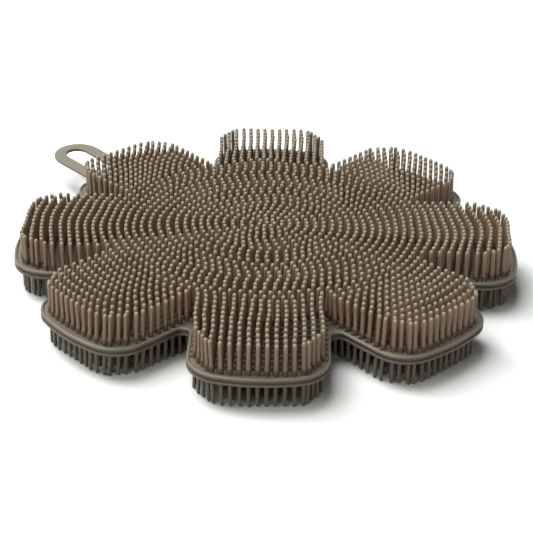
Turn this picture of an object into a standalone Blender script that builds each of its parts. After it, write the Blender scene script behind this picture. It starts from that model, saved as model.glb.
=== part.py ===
# Flower-shaped silicone scrubber, bristled on both faces, with a flat hanging loop.
# Frame: the flower's centre on the surface it rests on, +Z up, the hanging loop on +Y.

import math

import bmesh
import bpy
from mathutils import Vector

MM = 0.001

# Flower outline
petal_count = 8
petal_reach = 68.0 * MM          # centre to the rim at a petal's tip
petal_width = 34.8 * MM          # across the parallel sides of one petal
tip_arc_radius = 45.0 * MM       # the gentle curve across a petal's end
corner_radius = 9.6 * MM
notch_radius = 1.9 * MM          # between neighbouring petals

# Sheet that carries the bristles, from its middle outwards
core_thickness = 0.5 * MM
skin_thickness = 0.4 * MM        # the slice of sheet moulded with each bristle field
moulding_gap = 0.3 * MM          # between the regions of the one moulding

# Rim round the sheet: a bead on top and a lower one, with a groove between them
rim_width = 1.2 * MM
rim_proud = 0.45 * MM            # the crest above the sheet
crest_height = 0.95 * MM         # of the upper bead
groove_height = 0.25 * MM
groove_depth = 0.35 * MM

# Bristles
top_bristle_length = 8.5 * MM
bottom_bristle_length = 6.9 * MM
bristle_foot_span = 2.0 * MM     # across its corners
bristle_tip_span = 1.5 * MM
bristle_point_height = 0.5 * MM  # the rounded end, cut off on the strands that the part stands on
field_edge_margin = 0.8 * MM     # from a field's edge to the nearest foot
field_edge_slack = 0.3 * MM      # how far a foot in the outermost row may stand into that margin
strands_per_ring_step = 6
petal_columns = 5
top_centre_rings = 6
top_petal_rows = 4
bottom_centre_rings = 5
bottom_petal_rows = 3

# Hanging loop at the tip of petal 1, its top level with the rim's crest
loop_reach = 22.7 * MM           # how far it stands out from the petal
loop_width = 14.7 * MM
loop_thickness = 1.0 * MM
loop_end_radius = 6.9 * MM
loop_side_width = 4.0 * MM       # the strap on each side of the slot
loop_end_width = 3.1 * MM        # the strap across the slot's far end
loop_root_width = 2.6 * MM       # material between the petal and the slot
loop_edge_radius = 0.3 * MM
cut_overrun = 1.0 * MM

# Facets
notch_steps = 3
corner_steps = 4
tip_steps = 2
loop_end_steps = 5
slot_end_steps = 8
loop_edge_steps = 2
field_arc_steps = 3
top_strand_sides = 4
bottom_strand_sides = 3
smooth_angle = math.radians(40)  # edges sharper than this stay crisp in the shading
bevel_angle = math.radians(60)   # edges sharper than this are rounded on the loop

half_pitch = math.pi / petal_count
loop_petal_angle = math.pi / 2
half_width = petal_width / 2

# Heights above the resting plane
sheet_bottom = bottom_bristle_length
core_bottom = sheet_bottom + skin_thickness + moulding_gap
core_top = core_bottom + core_thickness
sheet_top = core_top + moulding_gap + skin_thickness
rim_top = sheet_top + rim_proud
groove_top = rim_top - crest_height
lower_bead_height = groove_top - groove_height - sheet_bottom

# The sheet ends one gap inside the rim, and the centre field one gap inside the petals
sheet_inset = rim_width + moulding_gap
centre_field_radius = half_width / math.sin(half_pitch) - sheet_inset
petal_field_radius = centre_field_radius + moulding_gap

silicone_colour = (0.185, 0.152, 0.117, 1.0)
bristle_colour = (0.215, 0.172, 0.130, 1.0)
silicone_roughness = 0.55


def clear_scene():
    for item in list(bpy.data.objects):
        bpy.data.objects.remove(item, do_unlink=True)


def silicone(name, colour):
    material = bpy.data.materials.new(name)
    material.use_nodes = True
    shader = material.node_tree.nodes["Principled BSDF"]
    shader.inputs["Base Color"].default_value = colour
    shader.inputs["Roughness"].default_value = silicone_roughness
    shader.inputs["Metallic"].default_value = 0.0
    return material


def arc(centre, radius, start, end, steps):
    """Points from start to end, in radians, with both ends."""
    angles = [start + (end - start) * step / steps for step in range(steps + 1)]
    return [(centre[0] + radius * math.cos(a), centre[1] + radius * math.sin(a)) for a in angles]


def corner_centre():
    """Centre of the corner arc, tangent to a petal's side and to the curve of its tip."""
    across = half_width - corner_radius
    along = math.sqrt((tip_arc_radius - corner_radius) ** 2 - across ** 2)
    return petal_reach - tip_arc_radius + along, across


def half_petal(inset):
    """Half of a petal's edge at an inset, as (along, across), from the notch to the tip."""
    notch_distance = (half_width + notch_radius) / math.sin(half_pitch)
    notch_centre = (notch_distance * math.cos(half_pitch), half_width + notch_radius)
    edge = arc(notch_centre, notch_radius + inset, half_pitch + math.pi, 1.5 * math.pi, notch_steps)
    centre = corner_centre()
    turn = math.atan2(centre[1], centre[0] - (petal_reach - tip_arc_radius))
    edge += arc(centre, corner_radius - inset, math.pi / 2, turn, corner_steps)
    tip_centre = (petal_reach - tip_arc_radius, 0)
    edge += arc(tip_centre, tip_arc_radius - inset, turn, 0, tip_steps)[1:]
    return edge


def whole_petal(inset):
    """One petal's edge, anticlockwise, from its right-hand notch round to its left-hand one."""
    left = half_petal(inset)
    right = [(along, -across) for along, across in left]
    return right + left[-2::-1]


def turned(points, angle):
    cos, sin = math.cos(angle), math.sin(angle)
    return [(x * cos - y * sin, x * sin + y * cos) for x, y in points]


def petal_angle(index):
    return loop_petal_angle + index * 2 * half_pitch


def flower(inset):
    """The flower's whole edge at an inset, anticlockwise."""
    edge = []
    for index in range(petal_count):
        edge += turned(whole_petal(inset)[:-1], petal_angle(index))
    return edge


def new_object(name, mesh, material):
    mesh.materials.append(material)
    mesh.shade_smooth()
    mesh.set_sharp_from_angle(angle=smooth_angle)
    item = bpy.data.objects.new(name, mesh)
    bpy.context.collection.objects.link(item)
    return item


def mesh_from(bm, name):
    bmesh.ops.recalc_face_normals(bm, faces=bm.faces)
    mesh = bpy.data.meshes.new(name)
    bm.to_mesh(mesh)
    bm.free()
    return mesh


def plate(name, edge, bottom, top):
    """A flat plate between two heights."""
    bm = bmesh.new()
    face = bm.faces.new([bm.verts.new((x, y, bottom)) for x, y in edge])
    raised = bmesh.ops.extrude_face_region(bm, geom=[face])["geom"]
    corners = [item for item in raised if isinstance(item, bmesh.types.BMVert)]
    bmesh.ops.translate(bm, verts=corners, vec=(0, 0, top - bottom))
    return mesh_from(bm, name)


def guide(name, mesh):
    """A cutter, or strands waiting to be joined: used by a modifier and not part of the object."""
    item = bpy.data.objects.new(name, mesh)
    bpy.context.collection.objects.link(item)
    item.hide_render = True
    item.display_type = "WIRE"
    return item


def combined(base, tool, operation):
    """The mesh of base after a Boolean with tool, both then removed."""
    modifier = base.modifiers.new(operation.title(), "BOOLEAN")
    modifier.operation = operation
    modifier.solver = "EXACT"
    modifier.object = tool
    bpy.context.view_layer.update()
    depsgraph = bpy.context.evaluated_depsgraph_get()
    mesh = bpy.data.meshes.new_from_object(base.evaluated_get(depsgraph))
    mesh.materials.clear()
    bpy.data.objects.remove(base, do_unlink=True)
    bpy.data.objects.remove(tool, do_unlink=True)
    return mesh


# Sheet and rim
def make_web(material):
    return new_object("web", plate("web", flower(sheet_inset), core_bottom, core_top), material)


def rim_section():
    """The two beads and their groove as (inset, height) pairs, clockwise from the inner top."""
    crest_shares = ((0.55, 0.0), (0.28, 0.0), (0.07, 0.2), (0.0, 0.5))
    lower_bead_shares = ((0.0, 0.3), (0.0, 0.75), (0.14, 1.0))
    section = [(rim_width, sheet_top)]
    for inset_share, drop_share in crest_shares:
        section.append((rim_width * inset_share, rim_top - crest_height * drop_share))
    section.append((groove_depth, groove_top))
    section.append((groove_depth, groove_top - groove_height))
    for inset_share, drop_share in lower_bead_shares:
        drop = groove_height + lower_bead_height * drop_share
        section.append((rim_width * inset_share, groove_top - drop))
    section.append((rim_width, sheet_bottom))
    return section


def make_rim(material):
    bm = bmesh.new()
    rings = []
    for inset, height in rim_section():
        rings.append([bm.verts.new((x, y, height)) for x, y in flower(inset)])
    for ring, next_ring in zip(rings, rings[1:] + rings[:1]):
        for index in range(len(ring)):
            following = (index + 1) % len(ring)
            bm.faces.new((ring[index], ring[following], next_ring[following], next_ring[index]))
    return new_object("rim", mesh_from(bm, "rim"), material)


# Hanging loop
def loop_outline():
    """Outer edge of the loop, as (along, across) of petal 1, on a root that follows the tip."""
    half = loop_width / 2
    root_radius = tip_arc_radius + moulding_gap
    tip_centre = (petal_reach - tip_arc_radius, 0)
    spread = math.asin(half / root_radius)
    root = arc(tip_centre, root_radius, spread, -spread, 2 * tip_steps)
    end = petal_reach + loop_reach
    right = arc((end - loop_end_radius, -half + loop_end_radius), loop_end_radius,
                -math.pi / 2, 0, loop_end_steps)
    left = [(along, -across) for along, across in reversed(right)]
    return root + right + left


def slot_outline():
    """The slot that a hook passes through, with round ends."""
    radius = loop_width / 2 - loop_side_width
    far = petal_reach + loop_reach - loop_end_width - radius
    near = petal_reach + loop_root_width + radius
    return (arc((far, 0), radius, -math.pi / 2, math.pi / 2, slot_end_steps)
            + arc((near, 0), radius, math.pi / 2, 1.5 * math.pi, slot_end_steps))


def make_loop(material):
    bottom = rim_top - loop_thickness
    strap = turned(loop_outline(), loop_petal_angle)
    slot = turned(slot_outline(), loop_petal_angle)
    base = new_object("strap", plate("strap", strap, bottom, rim_top), material)
    cutter = guide("slot", plate("slot", slot, bottom - cut_overrun, rim_top + cut_overrun))
    loop = new_object("hanging_loop", combined(base, cutter, "DIFFERENCE"), material)
    bevel = loop.modifiers.new("Rounded edges", "BEVEL")
    bevel.width = loop_edge_radius
    bevel.segments = loop_edge_steps
    bevel.limit_method = "ANGLE"
    bevel.angle_limit = bevel_angle
    return loop


# Bristle fields
def add_strand(bm, place, angle, sides, root, foot, end, point):
    """One strand that tapers from its foot to its end, with a blunt point if given."""
    levels = [(root, bristle_foot_span), (foot, bristle_foot_span), (end, bristle_tip_span)]
    first_corner = angle + math.pi / sides
    last_corner = first_corner + 2 * math.pi
    rings = []
    for height, span in levels:
        corners = arc(place, span / 2, first_corner, last_corner, sides)[:-1]
        rings.append([bm.verts.new((x, y, height)) for x, y in corners])
    bm.faces.new(rings[0])
    for ring, next_ring in zip(rings, rings[1:]):
        for index in range(sides):
            following = (index + 1) % sides
            bm.faces.new((ring[index], ring[following], next_ring[following], next_ring[index]))
    if point is None:
        bm.faces.new(rings[-1])
        return
    apex = bm.verts.new((place[0], place[1], point))
    for index in range(sides):
        bm.faces.new((rings[-1][index], rings[-1][(index + 1) % sides], apex))


def strand_form(side):
    """Number of sides, root inside the slice, foot on its face, end of the shaft, and the point or None."""
    if side == "top":
        return (top_strand_sides, sheet_top - skin_thickness / 2, sheet_top,
                sheet_top + top_bristle_length - bristle_point_height,
                sheet_top + top_bristle_length)
    return bottom_strand_sides, sheet_bottom + skin_thickness / 2, sheet_bottom, 0, None


def skin_heights(side):
    if side == "top":
        return sheet_top - skin_thickness, sheet_top
    return sheet_bottom, sheet_bottom + skin_thickness


def field(name, edge, places, side):
    """A slice of the sheet with its strands fused to it."""
    bm = bmesh.new()
    for place, angle in places:
        add_strand(bm, place, angle, *strand_form(side))
    strands = guide(name + "_strands", mesh_from(bm, name + "_strands"))
    skin = guide(name + "_skin", plate(name + "_skin", edge, *skin_heights(side)))
    return combined(skin, strands, "UNION")


def centre_places(rings):
    """Concentric rings of strands round one in the middle."""
    outermost = centre_field_radius - field_edge_margin - bristle_foot_span / 2
    places = [((0, 0), 0)]
    for ring in range(1, rings + 1):
        radius = outermost * ring / rings
        count = strands_per_ring_step * ring
        for index in range(count):
            angle = 2 * math.pi * index / count
            places.append(((radius * math.cos(angle), radius * math.sin(angle)), angle))
    return places


def petal_places(rows):
    """Rows on concentric arcs, in columns that run along the petal, kept clear of its edge."""
    margin = field_edge_margin + bristle_foot_span / 2
    clearance = sheet_inset + margin
    nearest = petal_field_radius + margin
    furthest = petal_reach - clearance
    edge_column = half_width - clearance
    corner = corner_centre()
    places = []
    for row in range(rows):
        radius = nearest + (furthest - nearest) * row / (rows - 1)
        for column in range(petal_columns):
            across = edge_column * (2 * column / (petal_columns - 1) - 1)
            along = math.sqrt(radius ** 2 - across ** 2)
            past_corner = Vector((along - corner[0], abs(across) - corner[1]))
            in_corner = min(past_corner) > 0
            if in_corner and past_corner.length > corner_radius - clearance:
                continue
            tip_distance = math.hypot(along - petal_reach + tip_arc_radius, across)
            if tip_distance > tip_arc_radius - clearance + field_edge_slack:
                continue
            places.append(((along, across), 0))
    return places


def petal_field_edge():
    """A petal's share of the sheet, inside the rim and clear of its neighbours and the centre."""
    inner_spread = half_pitch - math.asin(moulding_gap / 2 / petal_field_radius)
    inner = arc((0, 0), petal_field_radius, inner_spread, -inner_spread, field_arc_steps)
    edge = whole_petal(sheet_inset)
    notch_radius_out = math.hypot(*edge[0])
    outer_spread = half_pitch - math.asin(moulding_gap / 2 / notch_radius_out)
    corner = (notch_radius_out * math.cos(outer_spread), notch_radius_out * math.sin(outer_spread))
    return inner + [(corner[0], -corner[1])] + edge[1:-1] + [corner]


def make_bristle_fields(side, rings, rows, material, flower_centre):
    disc_steps = petal_count * field_arc_steps
    last_corner = half_pitch + 2 * math.pi
    disc = arc((0, 0), centre_field_radius, half_pitch, last_corner, disc_steps)[:-1]
    centre_name = side + "_bristles_centre"
    centre = new_object(centre_name, field(centre_name, disc, centre_places(rings), side), material)
    centre.parent = flower_centre
    petal_mesh = field(side + "_bristles_petal", petal_field_edge(), petal_places(rows), side)
    petal_mesh.materials.append(material)
    petal_mesh.shade_smooth()
    petal_mesh.set_sharp_from_angle(angle=smooth_angle)
    for index in range(petal_count):
        petal = bpy.data.objects.new(f"{side}_bristles_petal_{index + 1}", petal_mesh)
        bpy.context.collection.objects.link(petal)
        petal.parent = flower_centre
        petal.rotation_euler.z = petal_angle(index)


def build():
    clear_scene()
    flower_centre = bpy.data.objects.new("flower_centre", None)
    bpy.context.collection.objects.link(flower_centre)
    sheet_material = silicone("moulded_silicone", silicone_colour)
    for item in (make_web(sheet_material), make_rim(sheet_material), make_loop(sheet_material)):
        item.parent = flower_centre
    bristle_material = silicone("bristle_silicone", bristle_colour)
    make_bristle_fields("top", top_centre_rings, top_petal_rows, bristle_material, flower_centre)
    make_bristle_fields("bottom", bottom_centre_rings, bottom_petal_rows, bristle_material, flower_centre)


build()
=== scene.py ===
import math

import bmesh
import bpy
from mathutils import Matrix, Vector


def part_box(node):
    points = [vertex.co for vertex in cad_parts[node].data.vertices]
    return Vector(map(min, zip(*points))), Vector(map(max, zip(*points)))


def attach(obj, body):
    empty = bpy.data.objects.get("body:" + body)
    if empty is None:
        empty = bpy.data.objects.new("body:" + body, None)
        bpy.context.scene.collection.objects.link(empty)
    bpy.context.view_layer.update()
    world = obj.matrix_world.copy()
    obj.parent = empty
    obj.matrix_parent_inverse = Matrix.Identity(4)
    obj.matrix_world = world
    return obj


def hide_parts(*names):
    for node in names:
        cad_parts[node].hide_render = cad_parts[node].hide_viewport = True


# Flower-shaped silicone scrubber with bristles on both faces and a flat hanging loop.
# Metres, +Z up, the flower's centre at the origin and the loop on +Y.
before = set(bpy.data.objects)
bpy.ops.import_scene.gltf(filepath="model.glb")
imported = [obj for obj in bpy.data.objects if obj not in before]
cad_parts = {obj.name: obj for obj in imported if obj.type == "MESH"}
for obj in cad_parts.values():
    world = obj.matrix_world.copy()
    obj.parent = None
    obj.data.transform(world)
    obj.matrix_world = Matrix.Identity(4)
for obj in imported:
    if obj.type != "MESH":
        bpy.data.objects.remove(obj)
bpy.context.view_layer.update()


# Camera
# A long lens low over the table, with petal 4 nearest to it and the loop behind on the left.
MM = 0.001
camera_place = Vector((-257.5, -269.6, 199.0)) * MM
camera_heading = math.radians(46.274)    # anticlockwise from +X, seen from above
camera_tilt = math.radians(-27.669)      # below the horizon
camera_roll = math.radians(0.885)
lens_mm = 103.9
sensor_mm = 36.0

camera_data = bpy.data.cameras.new("camera")
camera_data.lens = lens_mm
camera_data.sensor_width = sensor_mm
camera = bpy.data.objects.new("camera", camera_data)
bpy.context.collection.objects.link(camera)
camera.matrix_world = (
    Matrix.Translation(camera_place)
    @ Matrix.Rotation(camera_heading - math.pi / 2, 4, "Z")
    @ Matrix.Rotation(camera_tilt + math.pi / 2, 4, "X")
    @ Matrix.Rotation(camera_roll, 4, "Z")
)
bpy.context.scene.camera = camera
bpy.context.scene.view_settings.view_transform = "Standard"


# Table and surround
# A matt white sheet that the scrubber stands on, pure white except in the soft shadow under and
# round the scrubber. It throws little light back up between the bristles of the lower face.
floor_half_width = 2.0
floor_white = (1.2, 1.2, 1.2, 1.0)    # so that it is white where less light falls too
floor_thrown_back = (0.05, 0.036, 0.03, 1.0)
room_light = (1.0, 0.99, 0.97, 1.0)
room_strength = 0.01
backdrop_white = (1.0, 1.0, 1.0, 1.0)
backdrop_strength = 1.0


def add_node(tree, kind, settings=None, links=None):
    """Adds a node. Its links are by input name or number, each a value, a socket or a node."""
    node = tree.nodes.new(kind)
    for name, value in (settings or {}).items():
        setattr(node, name, value)
    for key, value in (links or {}).items():
        if isinstance(value, bpy.types.Node):
            value = value.outputs[0]
        if isinstance(value, bpy.types.NodeSocket):
            tree.links.new(value, node.inputs[key])
        else:
            node.inputs[key].default_value = value
    return node


def calc(tree, operation, *values, kind="ShaderNodeMath"):
    """Adds a Math node, or a Vector Math one, that works on these values in their order."""
    return add_node(tree, kind, {"operation": operation}, dict(enumerate(values)))


def seen_directly(tree):
    """1 for what the eye sees of a surface, in a mirror or through glass too, and 0 for its light."""
    path = add_node(tree, "ShaderNodeLightPath")
    mirrored = calc(tree, "MAXIMUM", path.outputs["Is Camera Ray"], path.outputs["Is Glossy Ray"])
    return calc(tree, "MAXIMUM", mirrored, path.outputs["Is Transmission Ray"])


floor_paper = bpy.data.materials.new("matt_white_paper")
floor_paper.use_nodes = True
tree = floor_paper.node_tree
tree.nodes.clear()
paper = add_node(tree, "ShaderNodeBsdfDiffuse", links={"Color": floor_white})
dim_paper = add_node(tree, "ShaderNodeBsdfDiffuse", links={"Color": floor_thrown_back})
shown_paper = add_node(tree, "ShaderNodeMixShader", links={0: seen_directly(tree), 1: dim_paper, 2: paper})
add_node(tree, "ShaderNodeOutputMaterial", links={"Surface": shown_paper})

floor_mesh = bpy.data.meshes.new("floor")
floor_corners = [(sx * floor_half_width, sy * floor_half_width, 0)
                 for sx, sy in ((-1, -1), (1, -1), (1, 1), (-1, 1))]
floor_mesh.from_pydata(floor_corners, [], [(0, 1, 2, 3)])
floor_mesh.materials.append(floor_paper)
floor = bpy.data.objects.new("floor", floor_mesh)
bpy.context.collection.objects.link(floor)

world = bpy.data.worlds.new("studio")
world.use_nodes = True
tree = world.node_tree
tree.nodes.clear()
ambient = add_node(tree, "ShaderNodeBackground", links={"Color": room_light, "Strength": room_strength})
backdrop = add_node(tree, "ShaderNodeBackground",
                    links={"Color": backdrop_white, "Strength": backdrop_strength})
surround = add_node(tree, "ShaderNodeMixShader", links={0: seen_directly(tree), 1: ambient, 2: backdrop})
add_node(tree, "ShaderNodeOutputWorld", links={"Surface": surround})
bpy.context.scene.world = world


# Lamps
# Softboxes round the table: two large ones above and behind, one in front, and four small low ones
# in front and at the sides, whose light reaches the rim and the outer bristles of both faces.
lamp_distance = 0.9
cool_white, soft_white = (0.97, 1.0, 0.98), (0.98, 1.0, 0.93)
# Bearing from the camera's side and height, in degrees, width in metres, the light that the lamp
# lays on a surface that faces it, and its colour. A positive bearing is to the left.
lamps = {
    "overhead": (100, 74, 0.6, 0.7, cool_white),
    "back_left": (120, 50, 0.5, 0.46, cool_white),
    "front_high": (35, 42, 0.4, 0.16, soft_white),
    "front_left": (24, 8, 0.22, 0.115, soft_white),
    "front_right": (-24, 8, 0.22, 0.105, soft_white),
    "left": (75, 12, 0.24, 0.09, soft_white),
    "right": (-80, 10, 0.24, 0.06, soft_white),
}

for lamp_name, (bearing, height, width, level, colour) in lamps.items():
    lamp_data = bpy.data.lights.new(lamp_name, "AREA")
    lamp_data.shape = "SQUARE"
    lamp_data.size = width
    lamp_data.color = colour
    lamp_data.energy = level * (math.pi * lamp_distance) ** 2
    turn = camera_heading + math.pi - math.radians(bearing)
    rise = math.radians(height)
    outwards = math.cos(rise)
    towards_lamp = Vector((math.cos(turn) * outwards, math.sin(turn) * outwards, math.sin(rise)))
    lamp = bpy.data.objects.new(lamp_name, lamp_data)
    lamp.location = towards_lamp * lamp_distance
    lamp.rotation_mode = "QUATERNION"
    lamp.rotation_quaternion = towards_lamp.to_track_quat("Z", "Y")
    bpy.context.collection.objects.link(lamp)


# Moulded sheet and rim
# The flower-shaped silicone sheet that carries both bristled faces, with two beads and a groove
# between them round its edge. It is one moulding, with the matt bloom of a spark-eroded mould.
petal_count = 8
petal_step = 2 * math.pi / petal_count
loop_petal_angle = math.pi / 2
rim_low, rim_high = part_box("rim")
petal_reach = rim_high.x
petal_half_width = 17.4 * MM
tip_arc_radius = 45.0 * MM
corner_radius = 9.6 * MM
notch_radius = 1.9 * MM
notch_steps, corner_steps, tip_steps = 8, 16, 14
rim_top, sheet_bottom = rim_high.z, rim_low.z
rim_proud = 0.45 * MM                  # of the upper bead above the sheet
sheet_top = rim_top - rim_proud
rim_width = 1.2 * MM
slope_foot_inset = 0.72 * rim_width    # the upper bead slopes down to the sheet between these two
slope_top_inset = 0.5 * rim_width
top_hold_inset = 1.1 * rim_width       # edges that keep the shading of the flats even
bottom_hold_inset = 1.25 * rim_width
flat_inset = 3.0 * rim_width           # from here inwards both faces are plain and flat
crest_height = 1.05 * MM               # of the upper bead
crest_round_width = 0.52 * MM
groove_height = 0.4 * MM
groove_depth = 0.5 * MM
groove_shade_spread = 0.8 * MM               # of the painted shade above and below the groove's middle
lower_bead_foot_inset = 1.1 * groove_depth
slope_steps, crest_steps, lower_bead_steps = 4, 8, 9
crease_angle = math.radians(50)
# The second colour is painted shade, laid on the flat between the bristles and in the groove.
sheet_hex, recess_shade_hex = "#7e7669", "#67544a"
silicone_ior = 1.41
noise_low, noise_high = 0.3, 0.7       # nearly all of a noise texture lies between these


def linear(hex_colour):
    """A colour's sRGB hex value as the linear one that the shaders take."""
    channels = [int(hex_colour[i:i + 2], 16) / 255 for i in (1, 3, 5)]
    return tuple(c / 12.92 if c <= 0.04045 else ((c + 0.055) / 1.055) ** 2.4 for c in channels) + (1.0,)


def remap(tree, value, start, end, low=0.0, high=1.0):
    """Carries a value from the range between start and end to the one between low and high."""
    return add_node(tree, "ShaderNodeMapRange", links={0: value, 1: start, 2: end, 3: low, 4: high})


def blend(tree, share, first, second):
    """Goes from the first colour to the second as the share rises."""
    return add_node(tree, "ShaderNodeMix", {"data_type": "RGBA"},
                    {"Factor": share, 6: first, 7: second}).outputs[2]


def from_mesh(tree, name):
    """A value that the mesh carries at its points."""
    return add_node(tree, "ShaderNodeAttribute", {"attribute_name": name}).outputs["Fac"]


def moulded_silicone(name, body_hex, root_shade_hex=None, cap_highlight_hex=None, recess_shade_hex=None):
    """Satin silicone rubber, pigmented right through: slow patches of shade, a fine mould grain, and
    a little light carried through thin edges. With a colour for recesses, its hollows get painted
    shade. With colours for roots and caps, it is for bristles: each has a slightly different shade,
    and goes from painted shade at its root to a painted highlight on its cap."""
    patch_size = 14.0 * MM
    patch_shades = (0.95, 1.05)
    patch_roughness = (0.38, 0.46)
    strand_shades = (0.97, 1.05)
    foot_start, foot_end = 0.02, 0.14      # these heights are shares of a bristle's length
    shaft_start, shaft_end = 0.15, 0.88
    unshaded_at_shaft_start = 0.15
    highlight_start, highlight_end = 0.9, 0.975
    grain_size = 0.35 * MM       # the real grain is finer, and is drawn as coarse as shows
    grain_height = 0.008 * MM
    grain_strength = 0.6
    plain_specular, rubbed_specular = 0.5, 0.8
    glow_share = 0.05            # of the light goes through the rubber, red the furthest
    glow_reach = 0.6 * MM
    glow_by_colour = (1.0, 0.62, 0.38)
    material = bpy.data.materials.new(name)
    material.use_nodes = True
    tree = material.node_tree
    shader = tree.nodes["Principled BSDF"]
    place = add_node(tree, "ShaderNodeTexCoord").outputs["Object"]
    patches = add_node(tree, "ShaderNodeTexNoise",
                       links={"Vector": place, "Scale": 1 / patch_size, "Detail": 3.0}).outputs["Fac"]
    patch_shade = remap(tree, patches, noise_low, noise_high, *patch_shades)
    shade, body = patch_shade, linear(body_hex)
    # Painted shade in the hollows: the flat between the bristles and the groove are drawn darker.
    if recess_shade_hex:
        body = blend(tree, from_mesh(tree, "recess_shade"), body, linear(recess_shade_hex))
    # Painted shade: each bristle is drawn darkest at its foot and lighter up its shaft.
    if root_shade_hex:
        strand_shade = remap(tree, from_mesh(tree, "strand_tint"), 0.0, 1.0, *strand_shades)
        shade = calc(tree, "MULTIPLY", patch_shade, strand_shade)
        height = from_mesh(tree, "height_share")
        out_of_foot = remap(tree, height, foot_start, foot_end)
        up_shaft = remap(tree, height, shaft_start, shaft_end, low=unshaded_at_shaft_start)
        unshaded_share = calc(tree, "MULTIPLY", out_of_foot, up_shaft)
        shaft = blend(tree, unshaded_share, linear(root_shade_hex), body)
        # Painted highlight: the top of each bristle's cap is drawn paler.
        body = blend(tree, remap(tree, height, highlight_start, highlight_end), shaft, linear(cap_highlight_hex))
    colour = add_node(tree, "ShaderNodeHueSaturation", links={"Value": shade, "Color": body})
    roughness = remap(tree, patches, noise_low, noise_high, *patch_roughness)
    grain = add_node(tree, "ShaderNodeTexNoise",
                     links={"Vector": place, "Scale": 1 / grain_size, "Detail": 2.0})
    bump = add_node(tree, "ShaderNodeBump",
                    links={"Height": grain.outputs["Fac"], "Distance": grain_height,
                           "Strength": grain_strength})
    tree.links.new(colour.outputs["Color"], shader.inputs["Base Color"])
    tree.links.new(roughness.outputs[0], shader.inputs["Roughness"])
    tree.links.new(bump.outputs["Normal"], shader.inputs["Normal"])
    shader.inputs["IOR"].default_value = silicone_ior
    shader.inputs["Specular IOR Level"].default_value = rubbed_specular if cap_highlight_hex else plain_specular
    shader.inputs["Subsurface Weight"].default_value = glow_share
    shader.inputs["Subsurface Radius"].default_value = glow_by_colour
    shader.inputs["Subsurface Scale"].default_value = glow_reach
    return material


def arc(centre, radius, start, end, steps):
    """Points on an arc from one angle to another, with both ends."""
    angles = [start + (end - start) * step / steps for step in range(steps + 1)]
    return [(centre[0] + radius * math.cos(a), centre[1] + radius * math.sin(a)) for a in angles]


def corner_centre():
    """Centre of a petal's corner, as (along, across), tangent to its side and to the arc of its tip."""
    across = petal_half_width - corner_radius
    along = math.sqrt((tip_arc_radius - corner_radius) ** 2 - across ** 2)
    return petal_reach - tip_arc_radius + along, across


def flower_edge(inset):
    """The flower's whole edge at an inset, anticlockwise from the notch before petal 1."""
    half_step = petal_step / 2
    notch_distance = (petal_half_width + notch_radius) / math.sin(half_step)
    notch_centre = (notch_distance * math.cos(half_step), petal_half_width + notch_radius)
    corner = corner_centre()
    tip_centre = (petal_reach - tip_arc_radius, 0)
    turn = math.atan2(corner[1], corner[0] - tip_centre[0])
    left = arc(notch_centre, notch_radius + inset, half_step + math.pi, 1.5 * math.pi, notch_steps)
    left += arc(corner, corner_radius - inset, math.pi / 2, turn, corner_steps)
    left += arc(tip_centre, tip_arc_radius - inset, turn, 0, tip_steps)[1:]
    petal = [(x, -y) for x, y in left] + left[-2:0:-1]
    edge = []
    for index in range(petal_count):
        angle = loop_petal_angle + index * petal_step
        cos, sin = math.cos(angle), math.sin(angle)
        edge += [(x * cos - y * sin, x * sin + y * cos) for x, y in petal]
    return edge


def rim_section():
    """The sheet's edge as (inset, height) pairs, from its top face over both beads to its underside."""
    groove_top = rim_top - crest_height
    lower_top = groove_top - groove_height
    lower_height = lower_top - sheet_bottom
    section = [(flat_inset, sheet_top), (top_hold_inset, sheet_top)]
    for step in range(slope_steps + 1):
        share = step / slope_steps
        section.append((slope_foot_inset + (slope_top_inset - slope_foot_inset) * share,
                        sheet_top + rim_proud * (1 - math.cos(math.pi * share)) / 2))
    for step in range(crest_steps):
        a = math.pi / 2 - math.pi * step / crest_steps
        section.append((crest_round_width * (1 - math.cos(a)),
                        rim_top - crest_height * (1 - math.sin(a)) / 2))
    section += [(groove_depth, groove_top), (groove_depth, lower_top)]
    for step in range(1, lower_bead_steps):
        a = math.pi / 2 - math.pi * step / lower_bead_steps
        section.append((groove_depth * (1 - math.cos(a)),
                        lower_top - lower_height * (1 - math.sin(a)) / 2))
    section += [(lower_bead_foot_inset, sheet_bottom), (bottom_hold_inset, sheet_bottom)]
    return section + [(flat_inset, sheet_bottom)]


def bridge(bm, rings):
    """Joins each ring of points to the next one with four-sided faces."""
    for ring, next_ring in zip(rings, rings[1:]):
        for index in range(len(ring)):
            following = (index + 1) % len(ring)
            bm.faces.new((ring[index], ring[following], next_ring[following], next_ring[index]))


def finished(name, bm, *materials):
    """A shown object from a bmesh, shaded smooth, with its faces turned outwards."""
    bmesh.ops.recalc_face_normals(bm, faces=bm.faces)
    mesh = bpy.data.meshes.new(name)
    bm.to_mesh(mesh)
    bm.free()
    mesh.shade_smooth()
    mesh.set_sharp_from_angle(angle=crease_angle)
    for material in materials:
        mesh.materials.append(material)
    item = bpy.data.objects.new(name, mesh)
    bpy.context.collection.objects.link(item)
    return item


def recess_shade_share(inset, height):
    """How much painted shade a point gets: 1 on the flat between the bristles and in the groove, and 0 on
    the two beads.
    """
    if inset > slope_top_inset:
        return min(1.0, max(0.0, (inset - rim_width) / (flat_inset - rim_width)))
    groove_middle = rim_top - crest_height - groove_height / 2
    return max(0.0, 1.0 - abs(height - groove_middle) / groove_shade_spread)


sheet_silicone = moulded_silicone("satin_silicone_sheet", sheet_hex, recess_shade_hex=recess_shade_hex)
bm = bmesh.new()
rings = []
recess_shade = bm.verts.layers.float.new("recess_shade")
for inset, height in rim_section():
    rings.append([bm.verts.new((x, y, height)) for x, y in flower_edge(inset)])
    for vert in rings[-1]:
        vert[recess_shade] = recess_shade_share(inset, height)
bridge(bm, rings)
bm.faces.new(rings[0])
bm.faces.new(list(reversed(rings[-1])))
sheet = finished("moulded_sheet", bm, sheet_silicone)
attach(sheet, "root")
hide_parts("web", "rim")


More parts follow.
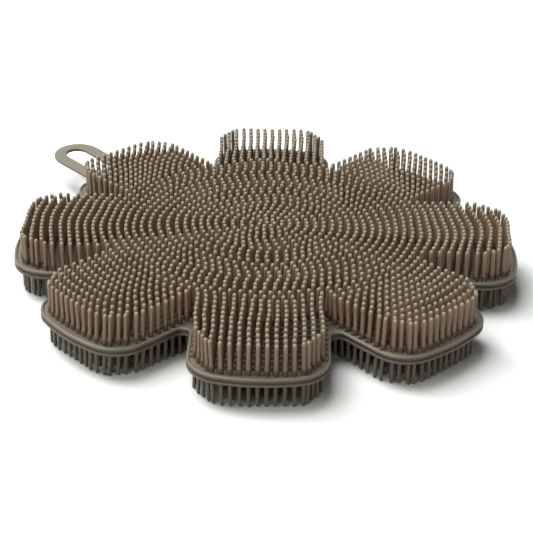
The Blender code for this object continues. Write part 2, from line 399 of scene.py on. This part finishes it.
# Hanging loop
# A flat strap of the same moulding at the tip of petal 1, level with the rim's crest, with a
# round-ended slot for a hook. It is soft, and bends up a little towards its far end.
loop_low, loop_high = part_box("hanging_loop")
loop_end = loop_high.y
loop_half = loop_high.x
loop_top, loop_bottom = loop_high.z, loop_low.z
loop_end_radius = 6.9 * MM
loop_side_width = 4.0 * MM
loop_end_width = 3.1 * MM
loop_root_width = 2.6 * MM
loop_edge_radius = 0.32 * MM
loop_root_sink = 0.5 * MM          # how far the strap runs into the rim
loop_root_flare = 1.6 * MM         # the fillet on each side where the strap leaves the rim
loop_rise = 1.0 * MM               # of its far end
flare_steps, strap_steps, strap_end_steps = 6, 10, 16
slot_side_steps, slot_end_steps = 8, 20
edge_steps = 5
lit_loop_hex = "#8a8375"               # painted light: drawn paler than the sheet, for light that comes through the thin strap


def straight(start, end, steps):
    """Points between two ends, without them, to bend the strap at."""
    return [(start[0] + (end[0] - start[0]) * step / steps, start[1] + (end[1] - start[1]) * step / steps)
            for step in range(1, steps)]


def strap_edge(inset):
    """The strap's outer edge, as (along, across) of petal 1."""
    half = loop_half - inset
    radius = loop_end_radius - inset
    root_at = petal_reach - loop_root_sink
    flare_centre = (petal_reach + loop_root_flare, half + loop_root_flare)
    flare = arc(flare_centre, loop_root_flare, math.pi, 1.5 * math.pi, flare_steps)
    end = arc((loop_end - inset - radius, half - radius), radius, math.pi / 2, 0, strap_end_steps)
    left = [(root_at, flare[0][1])] + flare + straight(flare[-1], end[0], strap_steps) + end
    return [(x, -y) for x, y in left] + left[::-1]


def slot_edge(inset):
    """The slot's edge, as (along, across), with the same number of points at any inset."""
    radius = loop_half - loop_side_width + inset
    far = loop_end - loop_end_width - (radius - inset)
    near = petal_reach + loop_root_width + (radius - inset)
    far_end = arc((far, 0), radius, -math.pi / 2, math.pi / 2, slot_end_steps)
    near_end = arc((near, 0), radius, math.pi / 2, 1.5 * math.pi, slot_end_steps)
    return (far_end + straight(far_end[-1], near_end[0], slot_side_steps)
            + near_end + straight(near_end[-1], far_end[0], slot_side_steps))


def edge_round():
    """A rounded edge as (inset, height) pairs, from the top face to the bottom one."""
    radius = loop_edge_radius
    top = [(radius * (1 - math.sin(a)), loop_top - radius * (1 - math.cos(a)))
           for a in [math.pi / 2 * step / edge_steps for step in range(edge_steps + 1)]]
    return top + [(inset, loop_bottom + loop_top - height) for inset, height in reversed(top)]


bm = bmesh.new()
for edge_at in (strap_edge, slot_edge):
    bridge(bm, [[bm.verts.new((-across, along, height)) for along, across in edge_at(inset)]
                for inset, height in edge_round()])
open_edges = [edge for edge in bm.edges if edge.is_boundary]
for level in (loop_top, loop_bottom):
    level_edges = [e for e in open_edges if abs(e.verts[0].co.z - level) < loop_edge_radius / 10]
    bmesh.ops.triangle_fill(bm, use_beauty=True, use_dissolve=False, edges=level_edges)
for vert in bm.verts:
    share = max(0, vert.co.y - petal_reach) / (loop_end - petal_reach)
    vert.co.z += loop_rise * share ** 2
loop_silicone = moulded_silicone("satin_silicone_loop", lit_loop_hex)
loop = finished("hanging_strap", bm, loop_silicone)
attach(loop, "root")
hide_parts("hanging_loop")


# Bristles of the middle, upper face
# Solid silicone bristles with a round end and a thicker foot, moulded with the sheet. They stand on
# rings at an even step round one in the middle, and lean a little, as soft bristles do.
ring_step = 2.2 * MM
centre_rings = 19
inner_spacing, outer_spacing = 2.08 * MM, 2.43 * MM
close_rings, open_rings = 4.0, 8.0     # the spacing along a ring widens between these two rings
top_lean = math.radians(0.5)       # of each bristle, at random
sway = math.radians(6.0)           # most lean that neighbouring bristles share
sway_patch = 13.0 * MM             # size of the patches that lean together
top_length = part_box("top_bristles_centre")[1].z - sheet_top
top_centre_seed, top_petals_seed = 11, 20
# The root colour is painted shade, and the cap colour is a painted highlight.
root_shade_hex, bristle_hex, cap_highlight_hex = "#5d483c", "#a98e75", "#a09989"
bristle_sides = 8
top_profile = (                    # radius and height above the sheet, in mm
    (0.80, -0.15), (0.66, 0.35), (0.72, 1.3), (0.72, 1.8), (0.53, 2.05), (0.51, 6.9),
    (0.55, 7.8), (0.49, 8.2), (0.33, 8.42), (0.0, 8.5),
)


def turned_strand(name, profile, sides, sign, bristle_length):
    """One closed strand turned from its profile, standing up with sign 1 or hanging down with -1. It
    keeps each point's height, as a share of a whole bristle's length, for the material."""
    bm = bmesh.new()
    height_share = bm.verts.layers.float.new("height_share")
    side_turns = [2 * math.pi * index / sides for index in range(sides)]
    rings = [[bm.verts.new((radius * MM * math.cos(a), radius * MM * math.sin(a), sign * height * MM))
              for a in side_turns] for radius, height in profile[:-1]]
    tip = bm.verts.new((0, 0, sign * profile[-1][1] * MM))
    for vert in bm.verts:
        vert[height_share] = sign * vert.co.z / bristle_length
    bridge(bm, rings)
    for index in range(sides):
        bm.faces.new((rings[-1][index], rings[-1][(index + 1) % sides], tip))
    bm.faces.new(rings[0])
    strand = finished(name, bm)
    strand.hide_render = True
    return strand


def new_strand_tree(name, own_inputs):
    """A Geometry Nodes tree with the inputs that every pattern of strands has, and its own ones."""
    shared_inputs = {"Strand": "Object", "Material": "Material", "Seed": "Int", "Lean": "Float",
                     "Sway": "Float", "Sway Scale": "Float", "Root Height": "Float"}
    tree = bpy.data.node_groups.new(name, "GeometryNodeTree")
    tree.interface.new_socket("Geometry", in_out="OUTPUT", socket_type="NodeSocketGeometry")
    for label, kind in {**shared_inputs, **own_inputs}.items():
        tree.interface.new_socket(label, in_out="INPUT", socket_type="NodeSocket" + kind)
    return tree


def strands_on_points(tree, points, given):
    """Stands a strand on every point, leaning a little by itself and a little with its neighbours,
    with a tint of its own, and ends the tree."""
    lean_most = add_node(tree, "ShaderNodeCombineXYZ", links={0: given["Lean"], 1: given["Lean"]})
    lean_least = add_node(tree, "ShaderNodeVectorMath", {"operation": "SCALE"},
                          {0: lean_most, "Scale": -1.0})
    own_lean = add_node(tree, "FunctionNodeRandomValue", {"data_type": "FLOAT_VECTOR"},
                        {0: lean_least, 1: lean_most, 8: given["Seed"]})
    patches = add_node(tree, "ShaderNodeTexNoise",
                       links={"Vector": add_node(tree, "GeometryNodeInputPosition"),
                              "Scale": given["Sway Scale"], "Detail": 0.0})
    both_ways = calc(tree, "SUBTRACT", patches.outputs["Color"], (0.5, 0.5, 0.5),
                     kind="ShaderNodeVectorMath")
    sway_most = add_node(tree, "ShaderNodeCombineXYZ", links={0: given["Sway"], 1: given["Sway"]})
    shared_lean = calc(tree, "MULTIPLY", both_ways, sway_most, kind="ShaderNodeVectorMath")
    leaning = calc(tree, "ADD", own_lean, shared_lean, kind="ShaderNodeVectorMath")
    strand = add_node(tree, "GeometryNodeObjectInfo", links={0: given["Strand"]})
    standing = add_node(tree, "GeometryNodeInstanceOnPoints",
                        links={"Points": points, "Instance": strand.outputs["Geometry"],
                               "Rotation": leaning})
    tint = add_node(tree, "FunctionNodeRandomValue", {"data_type": "FLOAT"}, {8: given["Seed"]})
    tinted = add_node(tree, "GeometryNodeStoreNamedAttribute", {"data_type": "FLOAT", "domain": "INSTANCE"},
                      {"Geometry": standing, "Name": "strand_tint", "Value": tint.outputs[1]})
    real = add_node(tree, "GeometryNodeRealizeInstances", links={"Geometry": tinted})
    coloured = add_node(tree, "GeometryNodeSetMaterial",
                        links={"Geometry": real, "Material": given["Material"]})
    add_node(tree, "NodeGroupOutput", links={0: coloured})


def ring_tree():
    """Strands on concentric rings, each ring turned by its own random angle."""
    tree = new_strand_tree("Strands on rings", {
        "Rings": "Int", "Ring Step": "Float", "Inner Spacing": "Float", "Outer Spacing": "Float",
        "Close Rings": "Float", "Open Rings": "Float", "Middle Strands": "Int", "Turn Share": "Float"})
    given = add_node(tree, "NodeGroupInput").outputs
    middle = add_node(tree, "GeometryNodePoints", links={"Count": given["Middle Strands"]})
    start = add_node(tree, "GeometryNodeRepeatInput")
    end = add_node(tree, "GeometryNodeRepeatOutput")
    start.pair_with_output(end)
    tree.links.new(given["Rings"], start.inputs["Iterations"])
    tree.links.new(middle.outputs[0], start.inputs["Geometry"])
    number = calc(tree, "ADD", start.outputs["Iteration"], 1.0)
    radius = calc(tree, "MULTIPLY", number, given["Ring Step"])
    spacing = remap(tree, number, given["Close Rings"], given["Open Rings"],
                    given["Inner Spacing"], given["Outer Spacing"])
    around = calc(tree, "MULTIPLY", radius, 2 * math.pi)
    fitting = calc(tree, "DIVIDE", around, spacing)
    count = calc(tree, "ROUND", fitting)
    ring = add_node(tree, "GeometryNodeMeshCircle", links={"Vertices": count, "Radius": radius})
    start_turn = add_node(tree, "FunctionNodeRandomValue", {"data_type": "FLOAT"},
                          {2: 0.0, 3: 2 * math.pi, 7: start.outputs["Iteration"], 8: 0})
    strand_turn = calc(tree, "DIVIDE", 2 * math.pi, count)
    shift = calc(tree, "MULTIPLY", strand_turn, given["Turn Share"])
    turn = calc(tree, "ADD", start_turn.outputs[1], shift)
    turn_vector = add_node(tree, "ShaderNodeCombineXYZ", links={2: turn})
    turned = add_node(tree, "GeometryNodeTransform", links={"Geometry": ring, "Rotation": turn_vector})
    joined = add_node(tree, "GeometryNodeJoinGeometry", links={0: start.outputs["Geometry"]})
    tree.links.new(turned.outputs[0], joined.inputs[0])
    tree.links.new(joined.outputs[0], end.inputs["Geometry"])
    height = add_node(tree, "ShaderNodeCombineXYZ", links={2: given["Root Height"]})
    raised = add_node(tree, "GeometryNodeSetPosition",
                      links={"Geometry": end.outputs["Geometry"], "Offset": height})
    strands_on_points(tree, raised, given)
    return tree


def grown(name, tree, **values):
    """A plain mesh object made by a Geometry Nodes tree with these inputs."""
    base = bpy.data.objects.new(name + "_base", bpy.data.meshes.new(name + "_base"))
    bpy.context.collection.objects.link(base)
    modifier = base.modifiers.new("Strands", "NODES")
    modifier.node_group = tree
    sockets = {s.name: s.identifier for s in tree.interface.items_tree if s.in_out == "INPUT"}
    for label, value in values.items():
        modifier[sockets[label.replace("_", " ").title()]] = value
    depsgraph = bpy.context.evaluated_depsgraph_get()
    mesh = bpy.data.meshes.new_from_object(base.evaluated_get(depsgraph))
    mesh.name = name
    bpy.data.objects.remove(base, do_unlink=True)
    item = bpy.data.objects.new(name, mesh)
    bpy.context.collection.objects.link(item)
    return item


bristle_silicone = moulded_silicone("satin_silicone_bristles", bristle_hex, root_shade_hex, cap_highlight_hex)
rings_of_strands = ring_tree()
top_strand = turned_strand("top_strand", top_profile, bristle_sides, 1, top_length)
swaying = dict(sway=2 * sway, sway_scale=1 / sway_patch)    # the tree sways by half of this each way
ring_sizes = dict(rings=centre_rings, ring_step=ring_step, inner_spacing=inner_spacing,
                  outer_spacing=outer_spacing, close_rings=close_rings, open_rings=open_rings)
top_centre = grown("upper_bristles_centre", rings_of_strands, strand=top_strand, material=bristle_silicone,
                   seed=top_centre_seed, lean=top_lean, root_height=sheet_top, middle_strands=1,
                   turn_share=0.0, **ring_sizes, **swaying)
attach(top_centre, "root")
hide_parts("top_bristles_centre")


# Bristles of the petals, upper face
# The same bristles in columns that run along each petal, on rows that stay concentric with the
# flower. The last ones in each column are drawn in round the petal's corners.
petal_columns, petal_rows = 15, 10
column_step = 2.17 * MM
first_row = (centre_rings + 1) * ring_step
even_rows_end = 55.0 * MM          # beyond it the rows are wider apart
outer_rows_share = 0.16            # by this much
corner_margin = 2.2 * MM           # from the petal's edge to the last bristle at a corner
corner_lead = 0.7 * MM             # the bristles' corner begins this much before the edge's
corner_extras = 2                  # more bristles on each corner's arc, between the columns


def petal_tree():
    """Strands in columns along one petal, on concentric rows, drawn in at the petal's corners, with
    extra ones between the outermost columns on each corner's arc."""
    tree = new_strand_tree("Strands on a petal", {
        "Columns": "Int", "Column Step": "Float", "Rows": "Int", "Row Step": "Float",
        "First Row": "Float", "Even Rows End": "Float", "Outer Rows Share": "Float",
        "Corner Along": "Float", "Corner Across": "Float", "Corner Reach": "Float",
        "Corner Extras": "Int", "Petal Angle": "Float"})
    given = add_node(tree, "NodeGroupInput").outputs
    depth = calc(tree, "MULTIPLY", calc(tree, "SUBTRACT", given["Rows"], 1.0), given["Row Step"])
    breadth = calc(tree, "MULTIPLY", calc(tree, "SUBTRACT", given["Columns"], 1.0), given["Column Step"])
    grid = add_node(tree, "GeometryNodeMeshGrid",
                    links={"Size X": depth, "Size Y": breadth,
                           "Vertices X": given["Rows"], "Vertices Y": given["Columns"]})
    # Each row's radius from the flower's centre
    place = add_node(tree, "ShaderNodeSeparateXYZ", links={0: add_node(tree, "GeometryNodeInputPosition")})
    from_first = calc(tree, "ADD", place.outputs[0], calc(tree, "MULTIPLY", depth, 0.5))
    even_radius = calc(tree, "ADD", from_first, given["First Row"])
    past = calc(tree, "MAXIMUM", calc(tree, "SUBTRACT", even_radius, given["Even Rows End"]), 0.0)
    radius = calc(tree, "MULTIPLY_ADD", past, given["Outer Rows Share"], even_radius)
    # Each point's distance along the petal on its row
    across = place.outputs[1]
    across_squared = calc(tree, "POWER", across, 2.0)
    along_squared = calc(tree, "SUBTRACT", calc(tree, "POWER", radius, 2.0), across_squared)
    along = calc(tree, "SQRT", along_squared)
    # How far along the petal the arc of its corner lets a bristle stand
    past_corner = calc(tree, "SUBTRACT", calc(tree, "ABSOLUTE", across), given["Corner Across"])
    in_corner_squared = calc(tree, "POWER", calc(tree, "MAXIMUM", past_corner, 0.0), 2.0)
    reach_squared = calc(tree, "POWER", given["Corner Reach"], 2.0)
    left_squared = calc(tree, "SUBTRACT", reach_squared, in_corner_squared)
    corner_along = calc(tree, "SQRT", calc(tree, "MAXIMUM", left_squared, 0.0))
    limit = calc(tree, "ADD", corner_along, given["Corner Along"])
    drawn_in = calc(tree, "MINIMUM", along, limit)
    # Points more than half a row outside that arc are left out
    overshoot = calc(tree, "SUBTRACT", along, limit)
    outside = calc(tree, "GREATER_THAN", overshoot, calc(tree, "MULTIPLY", given["Row Step"], 0.5))
    kept = add_node(tree, "GeometryNodeDeleteGeometry", {"domain": "POINT"},
                    {"Geometry": grid, "Selection": outside})
    # The extra ones lie beyond all rows, and so are drawn in to the arc itself, between the columns
    half_breadth = calc(tree, "MULTIPLY", breadth, 0.5)
    first_extra = calc(tree, "MULTIPLY_ADD", given["Column Step"], -0.5, half_breadth)
    beyond_rows = add_node(tree, "ShaderNodeCombineXYZ", links={0: given["First Row"], 1: first_extra})
    towards_middle = calc(tree, "MULTIPLY", given["Column Step"], -1.0)
    extra_step = add_node(tree, "ShaderNodeCombineXYZ", links={1: towards_middle})
    left_extras = add_node(tree, "GeometryNodeMeshLine",
                           links={"Count": given["Corner Extras"],
                                  "Start Location": beyond_rows, "Offset": extra_step})
    right_extras = add_node(tree, "GeometryNodeTransform",
                            links={"Geometry": left_extras, "Scale": (1.0, -1.0, 1.0)})
    all_points = add_node(tree, "GeometryNodeJoinGeometry", links={0: kept})
    tree.links.new(left_extras.outputs[0], all_points.inputs[0])
    tree.links.new(right_extras.outputs[0], all_points.inputs[0])
    position = add_node(tree, "ShaderNodeCombineXYZ",
                        links={0: drawn_in, 1: across, 2: given["Root Height"]})
    laid = add_node(tree, "GeometryNodeSetPosition", links={"Geometry": all_points, "Position": position})
    turn = add_node(tree, "ShaderNodeCombineXYZ", links={2: given["Petal Angle"]})
    turned = add_node(tree, "GeometryNodeTransform", links={"Geometry": laid, "Rotation": turn})
    strands_on_points(tree, turned, given)
    return tree


strands_on_petal = petal_tree()
corner_along, corner_across = corner_centre()
petal_sizes = dict(rows=petal_rows, row_step=ring_step, column_step=column_step, first_row=first_row,
                   even_rows_end=even_rows_end, outer_rows_share=outer_rows_share,
                   corner_along=corner_along, corner_across=corner_across - corner_lead,
                   corner_reach=corner_radius - corner_margin)
for index in range(petal_count):
    petal = grown(f"upper_bristles_petal_{index + 1}", strands_on_petal, strand=top_strand,
                  material=bristle_silicone, seed=top_petals_seed + index, lean=top_lean,
                  root_height=sheet_top, columns=petal_columns, corner_extras=corner_extras,
                  petal_angle=loop_petal_angle + index * petal_step, **petal_sizes, **swaying)
    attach(petal, "root")
    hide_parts(f"top_bristles_petal_{index + 1}")


# Nubs between the upper bristles
# Short round pips of the same moulding, midway between neighbouring bristles in each row, and
# beside the outermost ones on each petal.
nub_sides = 6
nub_profile = (                    # radius and height above the sheet, in mm
    (0.45, -0.15), (0.34, 0.1), (0.31, 0.5), (0.2, 0.75), (0.0, 0.85),
)
nub_centre_seed, nub_petals_seed = 31, 40
# Painted shade: the nubs are drawn darker and greyer than the sheet, for the shade between the bristles'
# feet.
shaded_nub_hex = "#787067"
nub_silicone = moulded_silicone("satin_silicone_nubs", shaded_nub_hex)
nub_strand = turned_strand("nub_strand", nub_profile, nub_sides, 1, top_length)
nubs = [grown("upper_nubs_centre", rings_of_strands, strand=nub_strand, material=nub_silicone,
              seed=nub_centre_seed, lean=0.0, root_height=sheet_top, middle_strands=0, turn_share=0.5,
              **ring_sizes)]
for index in range(petal_count):
    nubs.append(grown(f"upper_nubs_petal_{index + 1}", strands_on_petal, strand=nub_strand,
                      material=nub_silicone, seed=nub_petals_seed + index, lean=0.0,
                      root_height=sheet_top, columns=petal_columns + 1, corner_extras=0,
                      petal_angle=loop_petal_angle + index * petal_step, **petal_sizes))
for item in nubs:
    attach(item, "root")


# Bristles of the lower face
# Shorter and thinner bristles in the same pattern, with their roots flared into the sheet. The
# scrubber stands on their round ends.
bottom_length = sheet_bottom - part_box("bottom_bristles_centre")[0].z
bottom_lean = math.radians(0.8)
bottom_centre_seed, bottom_petals_seed = 51, 60
lower_hex = "#7f776a"
bottom_profile = (                 # radius and depth below the sheet, in mm
    (0.92, -0.15), (0.78, 0.03), (0.62, 0.18), (0.54, 0.45), (0.47, 6.4), (0.38, 6.72),
    (0.22, 6.86), (0.0, 6.9),
)
lower_silicone = moulded_silicone("satin_silicone_lower_bristles", lower_hex)
bottom_strand = turned_strand("bottom_strand", bottom_profile, bristle_sides, -1, bottom_length)
bottom_centre = grown("lower_bristles_centre", rings_of_strands, strand=bottom_strand,
                      material=lower_silicone, seed=bottom_centre_seed, lean=bottom_lean,
                      root_height=sheet_bottom, middle_strands=1, turn_share=0.0,
                      **ring_sizes, **swaying)
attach(bottom_centre, "root")
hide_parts("bottom_bristles_centre")
for index in range(petal_count):
    petal = grown(f"lower_bristles_petal_{index + 1}", strands_on_petal, strand=bottom_strand,
                  material=lower_silicone, seed=bottom_petals_seed + index, lean=bottom_lean,
                  root_height=sheet_bottom, columns=petal_columns, corner_extras=corner_extras,
                  petal_angle=loop_petal_angle + index * petal_step, **petal_sizes, **swaying)
    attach(petal, "root")
    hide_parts(f"bottom_bristles_petal_{index + 1}")


# The single strands were only patterns for the trees
for pattern in (top_strand, nub_strand, bottom_strand):
    bpy.data.objects.remove(pattern, do_unlink=True)
